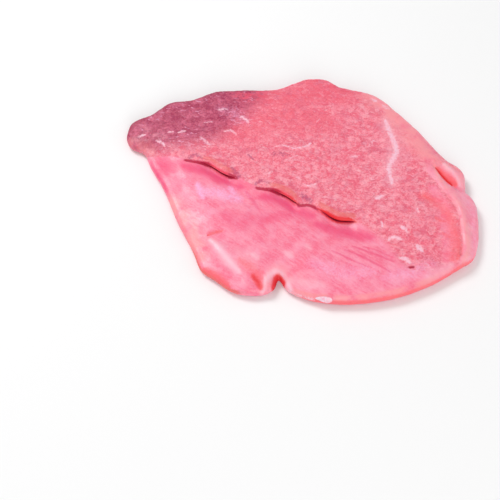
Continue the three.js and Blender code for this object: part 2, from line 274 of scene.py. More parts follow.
def rounded(points, steps=6):
    """A round path through given points, as a centripetal spline."""
    points = np.array(points, float)
    knots = [2 * points[0] - points[1], *points, 2 * points[-1] - points[-2]]
    path = []
    for a, b, c, d in zip(knots, knots[1:], knots[2:], knots[3:]):
        stretches = [np.linalg.norm(b - a), np.linalg.norm(c - b), np.linalg.norm(d - c)]
        t0, t1, t2, t3 = np.cumsum([0, *np.sqrt(stretches)])
        for t in np.linspace(t1, t2, steps, endpoint=False):
            ab = a + (b - a) * (t - t0) / (t1 - t0)
            bc = b + (c - b) * (t - t1) / (t2 - t1)
            cd = c + (d - c) * (t - t2) / (t3 - t2)
            abc = ab + (bc - ab) * (t - t0) / (t2 - t0)
            bcd = bc + (cd - bc) * (t - t1) / (t3 - t1)
            path.append(abc + (bcd - abc) * (t - t1) / (t2 - t1))
    return np.array([*path, points[-1]])


def beside(path):
    """For each vertex: its gap to a path, the share of the path there, and the side."""
    gaps = np.full(count, np.inf)
    shares = np.zeros(count)
    sides = np.zeros(count)
    for k, (start, end) in enumerate(zip(path, path[1:])):
        run = end - start
        share = np.clip(((seen_from_above - start) @ run) / (run @ run), 0, 1)
        off = seen_from_above - start - share[:, None] * run
        gap = np.hypot(off[:, 0], off[:, 1])
        near = gap < gaps
        gaps[near] = gap[near]
        shares[near] = (k + share[near]) / (len(path) - 1)
        sides[near] = np.sign(run[0] * off[near, 1] - run[1] * off[near, 0])
    return gaps, shares, sides


def band(points, wide, taper=0.0):
    """A map that is 1 on a line and fades over a width, which tapers towards both ends."""
    gap, share, _ = beside(rounded(points))
    width = wide * (1 - taper + taper * np.sqrt(np.sin(math.pi * share)))
    return np.exp(-((gap / np.maximum(width, 0.05)) ** 2))


# %% [markdown]
# ### The seam and its two muscles
# Behind the seam the bundles of the coarse muscle are cut across. In front of it the smooth
# muscle runs along its fibres. The seam stands open under three lips, and at its right end
# the two muscles only blend.

# %% The seam and its two muscles
SEAM = [
    (-88.6, 22), (-80, 19.2), (-66.2, 15.4), (-51.7, 12), (-41.8, 4.6), (-34.4, 1.8),
    (-24.7, -5), (-13.9, -7.6), (-5.5, -12.4), (0.5, -17.6), (6.1, -17.9), (13.4, -23),
    (20.8, -28.4), (30.5, -29.6), (36, -34), (44, -41), (50, -50), (54, -58), (61, -63),
    (70, -62.5), (80, -60), (92, -56),
]
LIPS = [(-65, -48, -32), (-24, -9, 4), (3, 19, 35)]
LIP_END = 8
FADE_FROM, FADE_TO = 30, 42
SHARP_SEAM, SOFT_SEAM = 0.6, 6.0
FACE_TILT, FACE_HEIGHT = (0.15, 0.6), (2, 4.5)

across = seen_from_above[:, 0]
face = ease(tilt[:, 2], *FACE_TILT) * ease(places[:, 2], *FACE_HEIGHT)
seam_gap, _, seam_side = beside(rounded(SEAM))
past_lips = ease(across, FADE_FROM, FADE_TO)
seam_width = SHARP_SEAM + (SOFT_SEAM - SHARP_SEAM) * past_lips
coarse = ease(seam_gap * seam_side / seam_width, -1, 1)
lips = np.zeros(count)
for start, full, end in LIPS:
    lips = np.maximum(lips, ease(across, start, full) * (1 - ease(across, end - LIP_END, end)))
print("share of coarse muscle", round(float(coarse.mean()), 2))

# %% [markdown]
# ### Lips, slits and lines
# Where a lip stands ajar, its rounded front edge is fresh red meat, and the slit under it is
# dark with painted shade. The edge is a line pushed a little off the seam. Between the lips the
# seam is shut, and shows as a thin crimson crease. The other marks are strokes: each has a half
# width in mm, a strength and a few points.

# %% Lips of the seam
LIP_RIPE = (-13, -3)
LIP_REDNESS = (0.6, 0.75, 1.0)
CREASES = [(-67, -64, -53, -46), (-41, -39, -36, -33), (-26, -23, -13, -7), (-2, 0, 7, 14)]


def moved(points, ahead):
    """A line pushed square to itself, towards the front, by a few mm."""
    points = np.array(points, float)
    run = np.gradient(points, axis=0)
    square = np.stack([run[:, 1], -run[:, 0]], axis=1)
    return points + ahead * square / np.linalg.norm(run, axis=1, keepdims=True)


def strokes(lines, taper=0.4):
    """One map of several strokes, each with its half width, its strength and its points."""
    amount = np.zeros(count)
    for wide, strong, points in lines:
        amount = np.maximum(amount, strong * band(points, wide, taper))
    return amount


ripe = np.zeros(count)
ajar = np.zeros(count)
for (start, full, end), redness in zip(LIPS, LIP_REDNESS):
    opened = ease(across, full + LIP_RIPE[0], full + LIP_RIPE[1])
    opened = opened * (1 - ease(across, end - LIP_END, end))
    ripe = np.maximum(ripe, redness * opened)
    ajar = np.maximum(ajar, opened)
lip_crown = band(moved(SEAM, -1.8), 2.2) * np.minimum(1.4 * ripe, 1)
lip_edge = band(moved(SEAM, 0.8), 1.3) * ripe
crease = np.zeros(count)
for start, full, fading, end in CREASES:
    crease = np.maximum(crease, ease(across, start, full) * (1 - ease(across, fading, end)))
crease = crease * band(moved(SEAM, 0.9), 1.0)
print("lip edge on", int((lip_edge > 0.5).sum()), "vertices, crease on", int((crease > 0.5).sum()))

# %% [markdown]
# ### Fat and pale streaks
# White fat runs between the muscles as one long line, and as small flecks where the knife cut
# across it. Noise could scatter the flecks, but each steak has a few of its own, so they are
# strokes listed one by one. They show on both cut faces.

# %% Fat and pale streaks
FAT_SEAM = [(52.5, 44.6), (53.6, 38.3), (55.4, 30.5), (57.2, 22.1), (56.1, 16), (52.4, 9.2),
            (52.2, 2.5), (52.9, -4.1)]
FAT_LINES = [
    (2.1, 0.9, FAT_SEAM),
    (1.1, 0.85, [(-12.4, 23.6), (-7.8, 24), (-3.7, 22.4), (0.9, 22.4), (5, 23.6), (8, 25.9)]),
    (0.9, 0.7, [(-6.8, 13), (-3.3, 15.2), (0.2, 16.7)]),
    (1.2, 1.0, [(-8.2, -72.4), (-2.9, -75.3), (2.4, -77.5), (6.6, -78.6)]),
]
FLECKS = [
    (1.1, 0.8, [(-93.7, 34.9), (-89.1, 35.2)]),
    (1.1, 0.8, [(-75.6, 34.9), (-72.6, 35.2)]),
    (1.3, 0.8, [(-69.7, 34.5), (-65, 35.6)]),
    (1.2, 0.9, [(-82.4, 30.2), (-79.4, 28.3), (-76.9, 24.8)]),
    (1.3, 0.8, [(-56.7, 31), (-53.7, 27.9), (-50.7, 24.8)]),
    (1.2, 0.8, [(-46.5, 52.3), (-41.2, 53.1)]),
    (1.4, 0.9, [(-33.4, 47.5), (-30.5, 45.1), (-28.1, 42.3)]),
    (1.0, 0.7, [(-54.6, 41.9), (-49.9, 42.7)]),
    (1.2, 0.8, [(-42.7, 35.6), (-38.6, 36.4), (-35.7, 33.3)]),
    (1.1, 0.7, [(-17.2, 2.9), (-14.4, 5.2)]),
    (1.2, 0.8, [(30.7, 15.6), (35.4, 16.8)]),
    (1.0, 0.7, [(41.6, 24), (44.8, 28.6)]),
    (1.0, 0.7, [(11.4, 41.9), (13.9, 45.1)]),
    (1.1, 0.8, [(-1.3, 0.7), (1.5, -1.5)]),
    (1.2, 0.8, [(2.5, -4.4), (5.9, -5.9), (9.9, -4.4)]),
    (1.1, 0.7, [(40.2, 0.7), (42.9, -1.5)]),
    (1.8, 0.75, [(45.1, 62.8), (48.5, 59.6)]),
    (1.7, 0.75, [(51.9, 57.1), (55.3, 53.9)]),
    (1.6, 1.0, [(43.2, -15.1), (47.3, -12.9)]),
    (1.1, 0.8, [(45.1, -30.4), (45.9, -34.6)]),
    (1.8, 1.0, [(55.9, -33.9), (58.9, -37.3)]),
    (1.6, 0.9, [(48.6, -42.8), (51.5, -41.1), (55.2, -42.8)]),
    (1.9, 1.0, [(63.7, -46.2), (66.6, -50.3)]),
    (1.8, 1.0, [(54.3, -54.9), (57, -55.9), (59, -58.2)]),
    (1.1, 0.8, [(65.7, -21.5), (66.5, -25)]),
]
cut_faces = np.maximum(ease(places[:, 2], 2, 4), ease(-tilt[:, 2], 0.6, 0.9))
fat = strokes(FAT_LINES + FLECKS) * cut_faces
print("fat on", round(100 * float((fat > 0.5).mean()), 2), "% of the vertices")

# %% [markdown]
# ### Folds, rim and pucker
# Soft meat rolls up at the right end, opens in a cleft, and puckers round the notch in front.
# The solid holds these forms. The strokes sharpen them and say where their colours go: painted
# shade in the cleft, the groove, the tuck and the notch hole, and painted highlight along the
# roll's crest and the streak. Near the rim at the right the coarse grain fades, which the calm
# strokes say.

# %% Folds, rim and pucker
ROLL = [(77.9, 14), (79.5, 1.9), (81.7, -5.9), (84.7, -10.2), (87.5, -15.3), (89.7, -21.7),
        (90.9, -28.7), (91.7, -36.3), (91.9, -43.9), (91, -50.6), (88.2, -56.6)]
ROLL_INNER = [(83, -12.5), (86, -18), (87.8, -24), (88.6, -31), (88.9, -38), (88.8, -45), (87.3, -52)]
CLEFT = [(77.6, 9.8), (80.2, 6.2), (83.2, 1.9), (85.6, -0.9), (88.4, -3.2), (92.5, -6.5)]
FLAP = [(84, 11), (87.4, 6.5), (90.4, 1.8), (91.8, -2.6)]
PUCKER = [(-20.8, -73.5), (-19.3, -69), (-17, -65.2), (-14, -63), (-10.8, -64.2), (-8.2, -67.8),
          (-5.6, -72.4)]
NOTCH_HOLE = [(-13.6, -71), (-12.4, -66.2), (-10.8, -68)]
DIMPLE = [(-25.9, -65.6), (-23.4, -68.7), (-21.6, -72)]
TUCK = [(-51, -38.4), (-48.5, -37.4), (-45.7, -36.5), (-42.4, -35.9)]
STREAK = [(-49.5, -42.1), (-46.1, -46.2), (-42.7, -50.9), (-39.4, -55.6), (-36.1, -60.2),
          (-33.2, -63.2)]
DARK_SPOT = [(58.8, -60.6), (60.8, -60.2)]
OUTER_SKIN, OUTER_REACH = (-0.5, 1.5), (16, 26)
CALM = [(9, 1.0, [(48, 66), (58, 54), (67, 40), (74, 26), (78, 10)]),
        (7, 1.0, [(76, -8), (80, -20), (82, -34), (82, -46), (79, -55)])]

roll = band(ROLL, 2.5, taper=0.5)
roll_gap, _, roll_side = beside(rounded(ROLL_INNER))
outer_skin = ease(roll_gap * roll_side, *OUTER_SKIN) * (1 - ease(roll_gap, *OUTER_REACH))
roll_inner = band(ROLL_INNER, 1.3, taper=0.6)
cleft = band(CLEFT, 1.4, taper=0.6)
flap = band(FLAP, 2.2, taper=0.5)
pucker = band(PUCKER, 1.8, taper=0.3)
hole = band(NOTCH_HOLE, 3.0)
hole_core = band(NOTCH_HOLE, 2.3)
# Painted light goes on the notch's flanks.
hole_flank_light = band(NOTCH_HOLE, 6.5) * (1 - hole_core)
dimple = band(DIMPLE, 2.4, taper=0.3)
tuck = band(TUCK, 1.3, taper=0.7)
streak = band(STREAK, 2.7, taper=0.5)
dark_spot = band(DARK_SPOT, 0.9)
calm = strokes(CALM)
print("folds:", [round(float(fold.sum())) for fold in (roll, cleft, pucker, dimple, tuck, streak)])

# %% [markdown]
# ## Relief
# A Displace modifier lifts the mesh by a map, which it reads as a vertex group. With a
# texture it lifts by a pattern as well: cells for the bundles of the coarse muscle, and soft
# clouds for lumps. Each one is applied at once.

# %% Relief by maps and patterns
TOP_HEIGHT = (5, 8)


def pattern(name, kind, grain, **settings):
    """A texture whose features are so many mm wide."""
    made = bpy.data.textures.new(name, kind)
    made.noise_scale = grain * MM
    for setting, value in settings.items():
        setattr(made, setting, value)
    return made


def lift(amount, height, direction="Z", texture=None, along=None, level=0.5):
    """Moves the vertices by a map times a height in mm, patterned about a texture's level."""
    group = steak.vertex_groups.new(name="amount")
    for index in np.flatnonzero(amount > 0.004):
        group.add([int(index)], float(amount[index]), "REPLACE")
    settings = {"vertex_group": group.name, "strength": height * MM, "direction": direction,
                "mid_level": level if texture else 0}
    if texture:
        settings["texture"] = texture
    if along:
        settings.update(texture_coords="OBJECT", texture_coords_object=along)
    shape_with(steak, "DISPLACE", **settings)
    steak.vertex_groups.remove(steak.vertex_groups["amount"])


def grain_guide(turn, stretch):
    """An empty that turns a pattern and stretches it along its own X."""
    bpy.ops.object.empty_add(rotation=(0, 0, math.radians(turn)))
    guide = bpy.context.object
    guide.scale = (stretch, 1, 1)
    return guide


top = face * ease(places[:, 2], *TOP_HEIGHT)
smooth_muscle = top * (1 - coarse)
in_front = (seam_side < 0) * ease(seam_gap, 0.8, 2.2)
behind = (seam_side > 0) * ease(seam_gap, 0.4, 1.6)
lift(band(moved(SEAM, 3.4), 3.2) * lips * ajar * in_front * top, -1.0)
lift(band(moved(SEAM, 2.6), 3.0) * lips * (1 - ajar) * in_front * top, 0.9)
lift(band(moved(SEAM, -2.4), 2.2) * lips * behind * top, 0.5)
lift(roll * top, 0.6)
lift(roll_inner * top, -0.9)
lift(cleft * top, -1.1)
lift(flap * top, 0.5)
lift(pucker * top, 0.5)
lift(hole * ease(places[:, 2], 1, 4), -1.1)
lift(crease * top, -0.5)
lift(dimple * top, -0.6)
lift(tuck * top, -0.9)
lift(streak * top, 0.6)
lift(dark_spot * top, -0.7)
lift(fat * top, 0.16)
print("folds are lifted")

# %% [markdown]
# ### Bundles, fibres and lumps
# Cut across, the coarse muscle shows its bundles as cells 2 to 3 mm wide. The smooth muscle
# shows fine ridges along its fibres. Sculpting each of them would take days, so textures move
# the vertices, and an empty turns and stretches each pattern as the grain of the meat does.

# %% Bundles, fibres and lumps
FIBRE_TURN = -38
bundle_guide = grain_guide(turn=-12, stretch=1.5)
fibre_guide = grain_guide(turn=FIBRE_TURN, stretch=9)
bundles = pattern("bundles", "VORONOI", 2.3, weight_1=-1, weight_2=1, noise_intensity=1.2)
fibres = pattern("fibres", "CLOUDS", 1.3, noise_depth=1)
lumps = pattern("lumps", "CLOUDS", 5.0, noise_depth=2)
crumbs = pattern("crumbs", "CLOUDS", 1.2, noise_depth=1)
rim = 1 - ease(tilt[:, 2], 0.2, 0.8)
rim = rim * ease(places[:, 2], 0.5, 2) * (1 - lips * (seam_gap < 4))
lift(top * coarse * (1 - 0.6 * calm), 0.30, "NORMAL", bundles, along=bundle_guide)
lift(top * coarse, 0.25, "NORMAL", crumbs)
lift(top * coarse, 0.5, "NORMAL", lumps)
lift(smooth_muscle, 0.22, "NORMAL", fibres, along=fibre_guide)
lift(rim, 0.35, "NORMAL", lumps)
for guide in (bundle_guide, fibre_guide):
    bpy.data.objects.remove(guide)
print("patterns:", [texture.name for texture in bpy.data.textures])

# %% [markdown]
# ### The underside
# The cut face that lies on the table shows the same two muscles. It has to stay flat to rest,
# so its relief only sinks inwards: the gaps between bundles, and the seam as a shallow crease.

# %% The underside
SEAM_CREASE, SEAM_CREASE_WIDTH = 0.9, 1.4
SHARP_TURN = math.radians(40)
under = (1 - ease(tilt[:, 2], -0.9, -0.6)) * (1 - ease(places[:, 2], 0.2, 0.6))
crease_under = under * np.exp(-((seam_gap / SEAM_CREASE_WIDTH) ** 2)) * (1 - past_lips)
gaps_under = pattern("gaps_under", "VORONOI", 3.2, weight_1=1)
lift(crease_under, SEAM_CREASE)
lift(under * coarse, 0.35, "Z", gaps_under, level=0)
lift(under * (1 - coarse), 0.25, "Z", lumps, level=0)
only(steak)
bpy.ops.object.shade_smooth_by_angle(angle=SHARP_TURN)
heights = np.array([vertex.co.z for vertex in steak.data.vertices])
print("lowest vertex", round(float(heights.min() / MM), 3), "mm")

# %% [markdown]
# ## Crevices
# Blood and shadow gather in slits and folds. From each vertex near a fold, rays go out over
# the half of space that it faces, and the share that meets meat within a few mm says how
# closed in it is. It is worked out once here, so that it is paint, the same from all sides.

# %% Crevices
CREVICE_REACH = 4 * MM
CREVICE_START = 0.05 * MM
CREVICE_RAYS = 24
SEAM_ZONE = 6

golden = math.pi * (3 - math.sqrt(5))
ways = []
for k in range(CREVICE_RAYS):
    height = 1 - 2 * (k + 0.5) / CREVICE_RAYS
    flat_reach = math.sqrt(1 - height * height)
    ways.append(Vector((flat_reach * math.cos(golden * k), flat_reach * math.sin(golden * k), height)))


def closed_in(wanted):
    """For each wanted vertex, the share of its outlook that meat within a few mm blocks."""
    tree = BVHTree.FromObject(steak, bpy.context.evaluated_depsgraph_get())
    share = np.zeros(count)
    for index in np.flatnonzero(wanted):
        vertex = steak.data.vertices[int(index)]
        start = vertex.co + vertex.normal * CREVICE_START
        hits = [tree.ray_cast(start, (vertex.normal + way).normalized(), CREVICE_REACH)[0]
                for way in ways]
        share[index] = sum(hit is not None for hit in hits) / CREVICE_RAYS
    return share


folds = [cleft, hole, dimple, tuck, roll_inner, dark_spot]
folded = np.maximum.reduce([*folds, lips * (seam_gap < SEAM_ZONE)])
crevice = closed_in((folded > 0.02) & (places[:, 2] > 1))
print("crevices on", int((crevice > 0.5).sum()), "of", int((folded > 0.02).sum()), "vertices")

# %% [markdown]
# ## Maps for the colours
# The zones that differ in colour are maps too, and some of them are painted shade and painted
# highlights. They are stored on the mesh as attributes, which the material reads by name, so
# each zone stays in place from any side.

# %% Marks of colour
DUSK_EDGE = [(-110, 23), (-99.8, 22), (-85.8, 21), (-68.4, 21.5), (-50.9, 26), (-33.4, 37),
             (-24, 50), (-16, 64.5), (-11, 80)]
DUSK_SOFT = (-11, 16)
MARKS = {
    "back_red": [
        (12, 1.0, [(-30, 66), (-14, 62), (0, 64), (14, 68), (30, 62)]),
        (8, 1.0, [(2, 80), (14, 77), (24, 73), (36, 67)]),
        (14, 0.85, [(-36, 34), (-20, 42), (0, 46), (20, 42)]),
    ],
    # Magenta: the broad strokes along the seam are painted shade in front of the lips; the thin ones
    # are fibres.
    "magenta_and_lip_shade": [
        (4.5, 1.0, [(-66, 10), (-53, 6), (-42, 0), (-33, -5)]),
        (4.5, 1.0, [(-21, -12.5), (-10.6, -14.5), (-1.7, -21), (7, -26)]),
        (4.5, 0.9, [(10, -31), (19.4, -36), (28.7, -38), (38, -41)]),
        (6.0, 0.5, [(-41, -25), (-33, -30), (-24.7, -28), (-5.2, -25)]),
        (0.8, 0.8, [(24.3, -49.5), (33, -54), (38.5, -57.6), (47.8, -64.2)]),
        (0.7, 0.8, [(28.2, -46.8), (36, -50.5), (43.1, -53.6), (50, -57.5)]),
        (0.7, 0.7, [(17, -50), (26, -55.5), (36, -61)]),
        (0.7, 0.6, [(34, -47), (42, -50), (50, -54.5)]),
        (1.1, 0.6, [(-29.8, -8.3), (-20.8, -24.7)]),
        (5.0, 0.95, [(-86, 14), (-80, 4), (-76, -6)]),
        (8.0, 0.7, [(-80, 15), (-74, 8), (-70, -2)]),
    ],
    "dull": [
        (1.9, 0.7, [(-63, 15.4), (-59.5, 17.8)]),
        (1.7, 0.7, [(-59, 18), (-55, 14.6)]),
        (1.9, 0.7, [(-24.5, -4), (-20.4, -1.4)]),
        (1.7, 0.6, [(-20, -1.5), (-16, -5.2)]),
        (2.6, 0.7, [(-37.8, 7), (-35.5, 3.3), (-33.8, 1.3)]),
        (2.6, 0.7, [(1.7, -12.1), (3.9, -14.2), (6.7, -16.4)]),
        (3.0, 0.55, [(-14.2, 17.6), (-10.2, 18), (-5.6, 17.5)]),
        (0.8, 0.8, [(-28.7, 17.8), (-26.9, 15.5), (-25.2, 13.3)]),
        (0.8, 0.6, [(-4.2, 31.6), (-0.7, 28.5)]),
    ],
    # Painted highlights: lavender glints of the wet film on the smooth muscle, the rims and the mauve
    # zone.
    "lavender_highlight": [
        (3.2, 0.9, [(-57.5, -2.5), (-56, -7), (-54, -13)]),
        (3.0, 0.8, [(-39, -5), (-36.5, -10)]),
        (6.5, 0.75, [(-54, -8), (-44, -10), (-34, -14)]),
        (3.4, 0.35, [(-31, -9), (-27, -12)]),
        (9.0, 0.3, [(-64, 0), (-57, -10), (-50, -24)]),
        (8.0, 0.5, [(6, -58), (22, -64), (38, -64)]),
        (6.0, 0.5, [(44, -68), (58, -64), (72, -58)]),
        (6.0, 0.4, [(-46, 54), (-36, 49), (-30, 43)]),
        (2.2, 0.4, [(95.1, -16.5), (96.6, -22.9), (96.8, -31.4), (96.4, -39.6), (95.1, -46.5)]),
        (2.2, 0.5, [(45.1, 62.8), (51, 58), (55.3, 53.9)]),
    ],
    # Pale tissue by the fat, and painted highlights on wet spots, the roll's crest and the front rim.
    "pale_and_highlight": [
        (2.3, 0.65, [(-26.4, -52.2), (-23.2, -54.9)]),
        (2.3, 0.65, [(-7.9, -50.9), (-4.7, -53.6)]),
        (1.6, 0.4, [(3.1, -46.2), (5.8, -48.9)]),
        (2.2, 0.2, [(81.7, -5.9), (84.7, -10.2), (87.5, -15.3), (89.7, -21.7), (91.4, -28.7),
                    (92.2, -36.3), (92.4, -43.9), (91, -51)]),
        (2.0, 0.4, [(42, 69), (49, 66), (56, 60), (63, 52), (70, 43), (77, 33), (84, 22)]),
        (5.5, 0.28, FAT_SEAM),
        (5.0, 0.35, [(-34, -50), (-28, -56), (-25, -60)]),
        (3.2, 0.45, [(-6, -67), (2, -70), (12, -72)]),
        (3.0, 0.4, [(82, -58), (76, -62), (68, -66)]),
    ],
    # Peach rims, lighter where a painted highlight lies along their crests.
    "peach_and_highlight": [
        (6.0, 1.0, [(-73.5, -10.6), (-68.4, -20.4), (-62.8, -31.7), (-57.6, -42.7),
                     (-53.4, -51.5)]),
        (9.0, 0.9, [(44, 66), (55, 54), (65, 40), (72, 26), (78, 13)]),
        (4.0, 0.6, [(-98, 33), (-92, 28.5), (-84, 24)]),
        (5.0, 0.7, [(86.5, 9), (90, 4), (93, -1)]),
    ],
    # Coral: mostly painted shade in the groove inside the roll, under the left foot and in the cleft;
    # the small dashes by the roll are the meat's own.
    "coral_and_rim_shade": [
        (4.6, 0.6, [(70, -12), (77, -17), (82, -25), (84.4, -35), (84.8, -46), (82.4, -55)]),
        (1.4, 0.8, [(70.5, -12), (73.1, -14.1), (75.8, -14.9)]),
        (1.3, 0.7, [(75.4, -27.6), (78, -29.6), (81.4, -30.4)]),
        (1.3, 0.6, [(78.8, -37.4), (81.6, -39.8), (84.6, -40.2)]),
        (2.2, 0.7, [(85.1, -35.3), (86.6, -42.1), (86.6, -48.9), (85, -54.9)]),
        (3.0, 1.0, [(-53, -59.6), (-48.1, -62.8), (-43.7, -66.6), (-39.3, -70.8)]),
        (3.2, 0.6, [(-67, -34), (-61, -45), (-56, -54)]),
        (4.0, 0.6, [(-33, -56), (-27, -61), (-21.5, -67)]),
        (2.8, 1.0, [(80.4, 7.9), (83.6, 3.4), (86.2, 0.6), (89.4, -2)]),
    ],
    # Red in the cleft's core: painted shade.
    "red_and_hollow_shade": [
        (1.4, 0.9, [(79, 8), (82, 3.9), (84.6, 0.4), (87.4, -2.2)]),
    ],
    "dried": [
        (3.2, 0.9, [(-99, 42), (-91, 50), (-84, 54), (-77, 60), (-70, 61.5), (-56, 66), (-42, 70),
                    (-28, 71), (-16, 72)]),
    ],
}


def marks(name):
    """The strokes of one colour as a map."""
    return strokes(MARKS[name])


print("strokes of colour:", sum(len(lines) for lines in MARKS.values()))

# %% Maps for the colours
FOOT = [(-58, -50), (-53, -59.6), (-46, -66.5), (-37.2, -73)]
BROW_TILT, BROW_FRONT, BROW_LEFT = (0.86, 0.995), (0.02, 0.2), -5
SHUT_SLIT = 0.25
CREVICE_TINT, CREVICE_DARK = (0.12, 0.45), (0.3, 0.75)

side = 1 - ease(tilt[:, 2], 0.1, 0.8)
shown = ease(places[:, 2], 1, 3)
# Painted shade: rim sides that face down and to the front turn coral.
front_side_shade = side * ease(-tilt[:, 1], 0.2, 0.7) * (across > 0)
# Painted highlight: the upper rim that faces the front is lighter.
front_brow_highlight = (1 - ease(tilt[:, 2], *BROW_TILT)) * ease(-tilt[:, 1], *BROW_FRONT)
front_brow_highlight = front_brow_highlight * (across > BROW_LEFT)
# Painted shadow under the left foot of the lobe.
left_foot_shadow = band(FOOT, 5) * (1 - ease(tilt[:, 2], 0.3, 0.95))
slit = np.where(seam_gap < SEAM_ZONE, SHUT_SLIT + (1 - SHUT_SLIT) * ajar, 1)
dusk_gap, _, dusk_side = beside(rounded(DUSK_EDGE))
maps = {
    "coarse": coarse * (1 - outer_skin) * (1 - 0.7 * side * shown) * (1 - 0.6 * calm * shown),
    "dusk": ease(dusk_gap * dusk_side, *DUSK_SOFT) * shown,
    "back_red": marks("back_red") * shown,
    # Magenta meat, and painted shade in front of the lips.
    "magenta_and_lip_shade": marks("magenta_and_lip_shade") * face,
    # Crimson of the shut crease and the dark spot, and painted shade where the crevice map is partly
    # closed in.
    "crimson_crease_and_crevice_shade": np.maximum.reduce([crease * face, 0.9 * dark_spot * face,
                                  ease(crevice, *CREVICE_TINT) * slit * (seam_gap < SEAM_ZONE)]),
    "dull": marks("dull") * face,
    # Painted highlights of the wet film.
    "lavender_highlight": marks("lavender_highlight") * shown,
    # Pale tissue, and painted highlights on the streak, the pucker ring and the roll's crest.
    "pale_and_highlight": np.maximum.reduce([marks("pale_and_highlight"), streak, pucker * (1 - hole_core), 0.7 * flap,
                               0.2 * outer_skin]) * shown,
    # Peach rims, painted highlights on the roll and the front rim, and painted light on the notch's
    # flanks that face away from the lamps.
    "peach_and_highlight": np.maximum.reduce([marks("peach_and_highlight"), roll, 0.8 * flap, 0.8 * hole_flank_light,
                                0.9 * front_brow_highlight * (1 - coarse)]) * shown,
    # Orange on the lips' crowns, and painted shadow under the left foot.
    "orange_and_foot_shadow": np.maximum(lip_crown, 1.2 * left_foot_shadow) * shown,
    "dried": marks("dried") * shown,
    # Coral marks, and painted shade on the front rim sides, under the left foot and in the tuck.
    "coral_and_rim_shade": np.maximum.reduce([marks("coral_and_rim_shade"), front_side_shade, left_foot_shadow, 0.9 * tuck,
                                0.9 * dimple]) * shown,
    # Fresh red on the lip edges and the dimple, and painted shade in the notch hole and the cleft.
    "red_and_hollow_shade": np.maximum.reduce([marks("red_and_hollow_shade"), lip_edge, 1.6 * hole_core, 0.6 * dimple]) * shown,
    "fat": fat,
    # Painted shade where the crevice map is closed in, in the underside's seam crease and in the notch
    # hole; the dark spot is darkened too.
    "crevice_shade": np.maximum.reduce([ease(crevice, *CREVICE_DARK) * slit, 0.4 * dark_spot * face,
                               0.45 * crease_under, 0.35 * hole_core]),
}
for name, amount in maps.items():
    made = steak.data.attributes.new(name, "FLOAT", "POINT")
    made.data.foreach_set("value", amount.astype(np.float32))
print("colour maps:", list(maps))

# %% [markdown]
# ## Shader maths as Python
# A material is a net of nodes. This class wraps one socket, so that a sum or a product of two
# of them adds the Math node that it stands for. Everything else goes through one method.

# %% Shader maths as Python
class Shade:
    """A socket of a material, to reckon with as with a number."""

    def __init__(self, tree, socket=None):
        self.tree = tree
        self.socket = socket

    def node(self, kind, settings, values, output=0):
        """Adds a node: first its settings, then the values or links of its sockets."""
        made = self.tree.nodes.new(kind)
        for name, setting in settings.items():
            setattr(made, name, setting)
        for name, value in values.items():
            if isinstance(value, Shade):
                self.tree.links.new(value.socket, made.inputs[name])
            else:
                made.inputs[name].default_value = value
        return Shade(self.tree, made.outputs[output] if made.outputs else None)

    def math(self, operation, *values):
        return self.node("ShaderNodeMath", {"operation": operation}, dict(enumerate(values)))

    def __add__(self, other):
        return self.math("ADD", self, other)

    def __sub__(self, other):
        return self.math("SUBTRACT", self, other)

    def __rsub__(self, other):
        return self.math("SUBTRACT", other, self)

    def __mul__(self, other):
        return self.math("MULTIPLY", self, other)

    __radd__ = __add__
    __rmul__ = __mul__


# %% Words for the meat's patterns
def eased(value, low, high):
    """A shade that goes smoothly from 0 at low to 1 at high."""
    return value.node("ShaderNodeMapRange", {"interpolation_type": "SMOOTHSTEP"},
                      {"Value": value, "From Min": low, "From Max": high})


def cloud(place, grain, detail=2.0, roughness=0.5, output="Fac"):
    """Soft noise whose features are so many mm wide."""
    return place.node("ShaderNodeTexNoise", {}, {
        "Vector": place, "Scale": 1 / (grain * MM), "Detail": detail, "Roughness": roughness}, output)


def cells(place, grain, feature, output):
    """Cells that are so many mm wide."""
    return place.node("ShaderNodeTexVoronoi", {"feature": feature},
                      {"Vector": place, "Scale": 1 / (grain * MM)}, output)


def turned(place, degrees, stretch):
    """Turns a pattern about Z and stretches it along its own X."""
    return place.node("ShaderNodeMapping", {"vector_type": "TEXTURE"}, {
        "Vector": place, "Rotation": (0, 0, math.radians(degrees)), "Scale": (stretch, 1, 1)})


def mixed(amount, under, over):
    """One colour over another, by an amount from 0 to 1."""
    return amount.node("ShaderNodeMix", {"data_type": "RGBA"}, {0: amount, 6: under, 7: over}, 2)


# %% [markdown]
# ## The colours of raw pork
# Each colour is written as it looks in the picture, from 0 to 255. The studio light is a
# little weaker than full, and gloss lays a thin veil of white on top, so both are taken off
# to get the paint that the surface needs. Grey test renders gave both numbers, roughly.

# %% The colours of raw pork
LIGHT_LEVEL = 0.94
GLOSS_VEIL = 0.042
PALEST = 0.96


def paint(red_and_hollow_shade, green, blue):
    """The paint for a surface that looks like this colour in the studio light."""
    levels = []
    for value in (red_and_hollow_shade, green, blue):
        seen = value / 255
        linear = seen / 12.92 if seen <= 0.04045 else ((seen + 0.055) / 1.055) ** 2.4
        levels.append(min(max((linear - GLOSS_VEIL) / LIGHT_LEVEL, 0), PALEST))
    return (*levels, 1)


COARSE_DEEP = paint(236, 108, 130)
COARSE_PALE = paint(255, 167, 181)
COARSE_DASH = paint(208, 84, 108)
COARSE_BRUISE = paint(214, 112, 138)
CONNECTIVE = paint(252, 188, 198)
SMOOTH_DEEP = paint(243, 118, 146)
SMOOTH_PALE = paint(254, 160, 182)
DUSK_DEEP = paint(158, 60, 90)
DUSK_PALE = paint(210, 106, 134)
BACK_RED_MEAT = paint(234, 86, 108)
# Magenta meat, also the colour of the painted shade in front of the lips.
MAGENTA_MEAT_AND_SHADE = paint(236, 82, 126)
# Crimson of the crease, also used for painted shade in partly closed crevices.
CRIMSON_CREASE_AND_SHADE = paint(192, 44, 84)
DULL_MEAT = paint(184, 84, 118)
DRIED_MEAT = paint(160, 70, 90)
